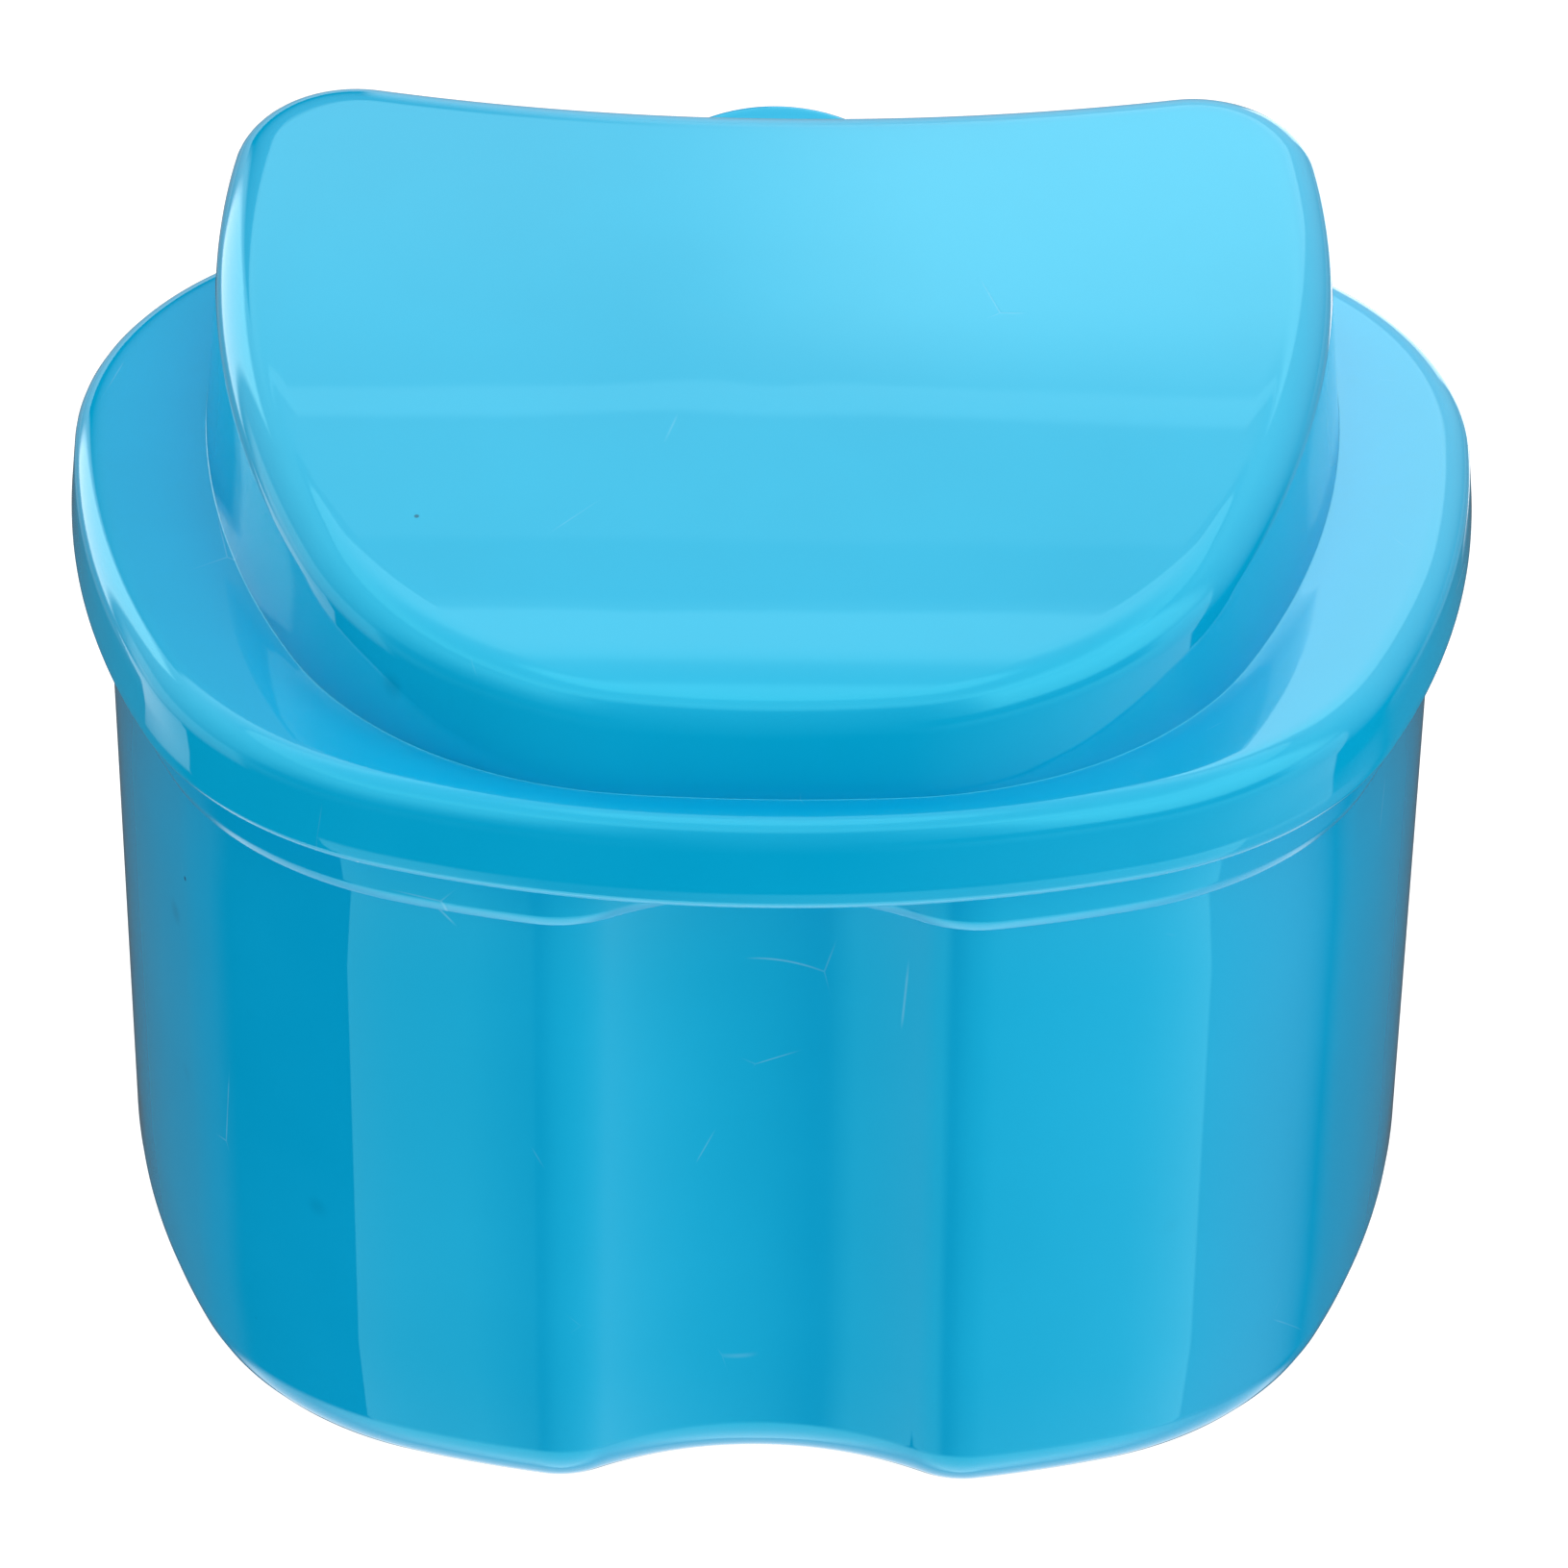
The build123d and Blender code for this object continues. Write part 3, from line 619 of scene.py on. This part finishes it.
# dots: cells per metre, the channel that chooses the cells, the step in it, and the dot's edge
SPECKS = (260.0, 0, (0.978, 0.982), (0.055, 0.03))
SOFT_SPOTS = (170.0, 1, (0.9, 0.96), (0.2, 0.02))
SOFT_SPOT_DEPTH = 0.22
NICKS_BELOW, NICKS_ABOVE, NICKS_FADE = 0.1, 0.45, 0.1  # millimetres from the cut edge
HANDLED_SCALE, HANDLED_DETAIL, HANDLED_ROUGHNESS = 60.0, 4.0, 0.6
HANDLED_STEP = (0.52, 0.8)
HAIRLINE_SCALE, HAIRLINE_WIDTH = 75.0, 0.005
SCRATCH_PALENESS, SCRATCH_DEPTH = 0.2, 0.0015
GRAIN_SCALE, GRAIN_DETAIL = 1800.0, 2.0
POLISHED, HANDLED_DULL, SCRATCH_DULL, GRAIN_DULL = 0.01, 0.025, 0.15, 0.008  # added up as roughness
RIPPLES = (  # waves per metre, detail, height in millimetres
    (60.0, 1.0, 0.006),
    (420.0, 2.0, 0.0002),
    (2600.0, 2.0, 0.00002),
)
SEED_SHIFT = (0.37, 0.11, 0.23)  # how far the patterns move for each seed, in metres


def moulded_plastic(name, seed, blues=CUP_BLUES, gloss_tint=CUP_GLOSS_TINT, flash_height=None):
    """Glossy moulded polypropylene: a colour that drifts a little, rare dark specks and larger
    soft spots, a gloss that handling has dulled in patches and by hairline scratches, and a skin
    with a long ripple and a fine grain. flash_height is where a cut edge shows small
    stress-whitened nicks."""
    material = bpy.data.materials.new(name)
    material.use_nodes = True
    nodes = Nodes(material.node_tree)
    on_piece = nodes.add("ShaderNodeTexCoord").out("Object")
    shifted = {"Vector": on_piece, "Location": [seed * shift for shift in SEED_SHIFT]}
    place = nodes.add("ShaderNodeMapping", {"vector_type": "POINT"}, shifted).out()

    def noise(scale, detail, roughness=0.5):
        inputs = {"Vector": place, "Scale": scale, "Detail": detail, "Roughness": roughness}
        return nodes.add("ShaderNodeTexNoise", {}, inputs).out("Fac")

    def patches(scale, detail, start, end):
        return nodes.step(noise(scale, detail), start, end)

    def dots(scale, channel, chosen, size):
        """Round dots in the cells whose random colour has that channel past the chosen step."""
        cells = nodes.add("ShaderNodeTexVoronoi", {}, {"Vector": place, "Scale": scale})
        drawn = nodes.add("ShaderNodeSeparateColor", {}, {"Color": cells.out("Color")}).out(channel)
        return nodes.step(cells.out("Distance"), *size) * nodes.step(drawn, *chosen)

    def mixed(factor, first, second):
        inputs = {0: factor, 6: first, 7: second}  # by number, because their names are shared
        return nodes.add("ShaderNodeMix", {"data_type": "RGBA"}, inputs).out(2)

    colour = mixed(patches(*COLOUR_DRIFT), *blues)
    colour = mixed(dots(*SPECKS), colour, PLASTIC_SPECK)
    colour = mixed(dots(*SOFT_SPOTS) * SOFT_SPOT_DEPTH, colour, PLASTIC_SPECK)
    if flash_height is not None:
        height = nodes.add("ShaderNodeSeparateXYZ", {}, {"Vector": on_piece}).out("Z")
        lowest, highest = (flash_height - NICKS_BELOW) * MM, (flash_height + NICKS_ABOVE) * MM
        nicks = patches(*NICKS) * patches(*NICKED_PATCHES)
        nicks = nicks * nodes.band(height, lowest, highest, NICKS_FADE * MM)
        colour = mixed(nicks, colour, STRESS_WHITE)

    handled = nodes.step(noise(HANDLED_SCALE, HANDLED_DETAIL, HANDLED_ROUGHNESS), *HANDLED_STEP)
    cells = {"Vector": place, "Scale": HAIRLINE_SCALE}
    hair = nodes.add("ShaderNodeTexVoronoi", {"feature": "DISTANCE_TO_EDGE"}, cells).out("Distance")
    scratch = nodes.step(hair, HAIRLINE_WIDTH, 0.0) * patches(*SCRATCHED_PATCHES)
    colour = mixed(scratch * SCRATCH_PALENESS, colour, STRESS_WHITE)
    roughness = POLISHED + handled * HANDLED_DULL + scratch * SCRATCH_DULL
    roughness = roughness + noise(GRAIN_SCALE, GRAIN_DETAIL) * GRAIN_DULL

    skin, *finer = [noise(scale, detail) * depth for scale, detail, depth in RIPPLES]
    for ripple in finer:
        skin = skin + ripple
    dents = {"Strength": 1.0, "Distance": MM, "Height": skin - scratch * SCRATCH_DEPTH}
    look = {
        "Base Color": colour,
        "Roughness": roughness,
        "IOR": 1.5,
        "Specular Tint": gloss_tint,
        "Normal": nodes.add("ShaderNodeBump", {}, dents).out(),
    }
    shader = nodes.add("ShaderNodeBsdfPrincipled", {}, look)
    nodes.add("ShaderNodeOutputMaterial", {}, {"Surface": shader.out()})
    return material


for piece, plastic in (
    (basket, moulded_plastic("blue_basket_plastic", 1)),
    (cup, moulded_plastic("blue_cup_plastic", 2)),
    (lid, moulded_plastic("blue_lid_plastic", 3, LID_BLUES, LID_GLOSS_TINT, SKIRT_BOTTOM)),
):
    piece.data.materials.clear()
    piece.data.materials.append(plastic)

# ---------------------------------------------------------------- camera
CAMERA_ELEVATION = np.radians(35.0)
CAMERA_DISTANCE = 600.0
CAMERA_AIM_DROP = 26.35  # how far below the flange it aims
CAMERA_AIM_RIGHT, CAMERA_AIM_UP = 1.0, 0.7
CAMERA_ROLL = 0.012
PIXELS_PER_MM = 15.9966
FRAME_PIXELS = 1631
SENSOR = 36.0
CAMERA_CLIP = (0.02, 20)  # in metres

forward = np.array([0, np.cos(CAMERA_ELEVATION), -np.sin(CAMERA_ELEVATION)])
level_right = np.array([1.0, 0, 0])
level_up = np.array([0, np.sin(CAMERA_ELEVATION), np.cos(CAMERA_ELEVATION)])
aim = np.array([0, -MIDDLE_Y, LID_TOP - CAMERA_AIM_DROP])
aim = aim + CAMERA_AIM_RIGHT * level_right + CAMERA_AIM_UP * level_up
right = level_right * np.cos(CAMERA_ROLL) + level_up * np.sin(CAMERA_ROLL)
up = level_up * np.cos(CAMERA_ROLL) - level_right * np.sin(CAMERA_ROLL)
camera = bpy.data.objects.new("camera", bpy.data.cameras.new("camera"))
bpy.context.scene.collection.objects.link(camera)
camera.data.sensor_width = SENSOR
camera.data.lens = SENSOR * PIXELS_PER_MM * CAMERA_DISTANCE / FRAME_PIXELS
turned = Matrix(np.column_stack([right, up, -forward]).tolist()).to_4x4()
camera.matrix_world = Matrix.Translation(Vector((aim - forward * CAMERA_DISTANCE) * MM)) @ turned
camera.data.clip_start, camera.data.clip_end = CAMERA_CLIP
bpy.context.scene.camera = camera

# ---------------------------------------------------------------- floor and light
FLOOR_HALF = 3000.0
FLOOR_GREY = (0.1, 0.1, 0.1, 1)
WHITE = (1, 1, 1, 1)
floor_corners = FLOOR_HALF * np.array([[-1, -1, 0], [1, -1, 0], [1, 1, 0], [-1, 1, 0]])
floor = add_piece("floor", floor_corners, [np.arange(4)[None]])


def pale_floor():
    """Plain white acrylic that is lit from below as well."""
    material = bpy.data.materials.new("pale_floor")
    material.use_nodes = True
    nodes = Nodes(material.node_tree)
    look = {"Base Color": FLOOR_GREY, "Roughness": 0.6, "Emission Color": WHITE, "Emission Strength": 1.0}
    shader = nodes.add("ShaderNodeBsdfPrincipled", {}, look)
    nodes.add("ShaderNodeOutputMaterial", {}, {"Surface": shader.out()})
    return material


floor.data.materials.append(pale_floor())
floor.visible_glossy = False  # gloss sees the studio's panels below the table's edge


def softbox(name, place, size, radiance):
    """A plain rectangular light that faces the case. Its place and size are in metres, and its
    power is pi times area times radiance."""
    lamp = bpy.data.lights.new(name, "AREA")
    lamp.shape = "RECTANGLE"
    lamp.size, lamp.size_y = size
    lamp.energy = np.pi * size[0] * size[1] * radiance
    light = bpy.data.objects.new(name, lamp)
    light.location = place
    middle = Vector((0, 0, LID_TOP / 2 * MM))
    light.rotation_euler = (middle - Vector(place)).to_track_quat("-Z", "Y").to_euler()
    light.visible_glossy = False
    bpy.context.scene.collection.objects.link(light)


softbox("softbox_right", (1.1, -0.5, 0.7), (0.8, 0.8), 1.5)
softbox("softbox_above", (0.1, -0.1, 1.3), (1.1, 1.1), 2.4)
softbox("softbox_left", (-0.55, 0.45, 0.85), (0.5, 0.5), 2.2)


# The studio's panels. Each row gives the azimuths that it lies between and how soft those edges
# are, the same for its elevations, and its radiance, which is below 0 for a darker gap. Azimuth
# is in degrees from the back of the case, to the right; elevation is in degrees from the horizon.
PANELS_ABOVE = (
    (78, 160, 14, 2, 66, 22, 2.2),  # a large one to the right
    (-54, -34, 3, -14, 38, 5, 3.0),  # behind on the left
    (-105, -55, 5, -24, 8, 5, 1.0),  # low on the left
    (-1.5, 34, 3, 28, 50, 3, 1.55),  # behind on the right, over the flange's right flank
    (-40, 34, 12, 40, 49, 4, 0.3),
    (-30, 30, 10, 48.9, 49.6, 0.15, 0.7),  # a thin line across the dome's top
    (-34, 0, 3, 8, 42.5, 2, -1.65),  # a gap behind on the left, over the flange's left flank
    (-60, 60, 10, 51.7, 53, 0.2, -0.35),  # a thin gap across the dome's top
)
PANELS_BEHIND = (
    (-75, 60, 15, -30, -8, 4, 0.35),
    (-75, 60, 15, -54, -26, 4, 0.1),
    (8, 24, 2, -32, 4, 3, 1.8),
    (-77, -50, 1.0, -32, -18, 3, 1.2),
)
STUDIO_RADIANCE = 1.3
AMBIENT_RADIANCE = 0.55  # what everything but gloss and the camera sees
BACKDROP_RADIANCE = 1.0
LEFT_GAP_DEPTH = 0.65
FRONT_GAP_DEPTH = 0.7
LOW_FRONT_GAP_DEPTH = 0.7


def studio():
    """The room that the gloss reflects: a light that grows upwards, with panels above and behind,
    white cards below on both sides of the camera, and dark gaps between them. Everything else
    sees an even white."""
    world = bpy.data.worlds.new("studio")
    bpy.context.scene.world = world
    world.use_nodes = True
    world.cycles.sampling_method = "NONE"
    nodes = Nodes(world.node_tree)
    direction = nodes.add("ShaderNodeTexCoord").out("Generated")
    towards = nodes.add("ShaderNodeSeparateXYZ", {}, {"Vector": direction})
    degrees = 180 / np.pi
    azimuth = towards.out("X").math("ARCTAN2", towards.out("Y")) * degrees
    elevation = towards.out("Z").math("ARCSINE") * degrees
    aside = azimuth.math("ABSOLUTE")

    def with_panels(light, panels):
        for low, high, soft_across, bottom, top, soft_up, radiance in panels:
            across = nodes.band(azimuth, low, high, soft_across)
            light = light + across * nodes.band(elevation, bottom, top, soft_up) * radiance
        return light

    # the light that grows upwards, brighter overhead, with gaps on the left and in front
    above = nodes.line(elevation, -18, 45, 0.0, 3.0) + nodes.band(elevation, 53, 90, 0.15) * 1.1
    above = above + nodes.step(elevation, 76, 83) * 1.6 - nodes.step(elevation, 58, 68) * 0.8
    left_gap = nodes.step(azimuth, -95, -130) * nodes.line(azimuth, -180, -160, 0.0, 1.0)
    above = above * (1 - left_gap * nodes.step(elevation, 45, 15) * LEFT_GAP_DEPTH)
    front_gap = nodes.step(aside, 148, 172) * nodes.band(elevation, -30, 66, 20)
    above = with_panels(above * (1 - front_gap * FRONT_GAP_DEPTH), PANELS_ABOVE)
    above = above.math("MAXIMUM", 0.0) * nodes.step(elevation, -24, -14)

    # the cards below, which the upright walls reflect
    left_card = nodes.band(azimuth, -181, -123.5, 0.6) * nodes.line(azimuth, -158, -148, 0.55, 1.6)
    front_card = nodes.line(azimuth, -180, -163, 0.65, 0.0)
    right_near = nodes.line(azimuth, 55, 112, 0.0, 1.3) * nodes.step(azimuth, 114.5, 113)
    right_card = nodes.line(azimuth, 114, 180, 2.6, 1.2) * nodes.step(azimuth, 113, 114.5)
    cards = left_card + front_card + right_near + right_card
    below = cards * nodes.band(elevation, -50, -28, 3)
    beside = nodes.band(azimuth, 82, 181, 1.5) * nodes.line(azimuth, 110, 174, 1.4, 0.0)
    behind = with_panels(0.0, PANELS_BEHIND) + beside * nodes.band(elevation, -34, 14, 8)
    under = nodes.step(elevation, -46, -52) * nodes.line(aside, 90, 130, 1.2, 3.0)

    # a gap low in front, which only the top seen from low behind reflects
    low_front = nodes.band(aside, 98, 176, 14) * nodes.band(elevation, -6, 18, 8)
    reflected = (above + behind) * (1 - low_front * LOW_FRONT_GAP_DEPTH) + below + under

    ray = nodes.add("ShaderNodeLightPath")
    glossy = ray.out("Is Glossy Ray")
    even = nodes.line(ray.out("Is Camera Ray"), 0, 1, AMBIENT_RADIANCE, BACKDROP_RADIANCE)
    strength = glossy * (reflected * STUDIO_RADIANCE) + (1 - glossy) * even
    background = nodes.add("ShaderNodeBackground", {}, {"Strength": strength})
    nodes.add("ShaderNodeOutputWorld", {}, {"Surface": background.out()})


studio()
bpy.context.scene.view_settings.view_transform = "Standard"
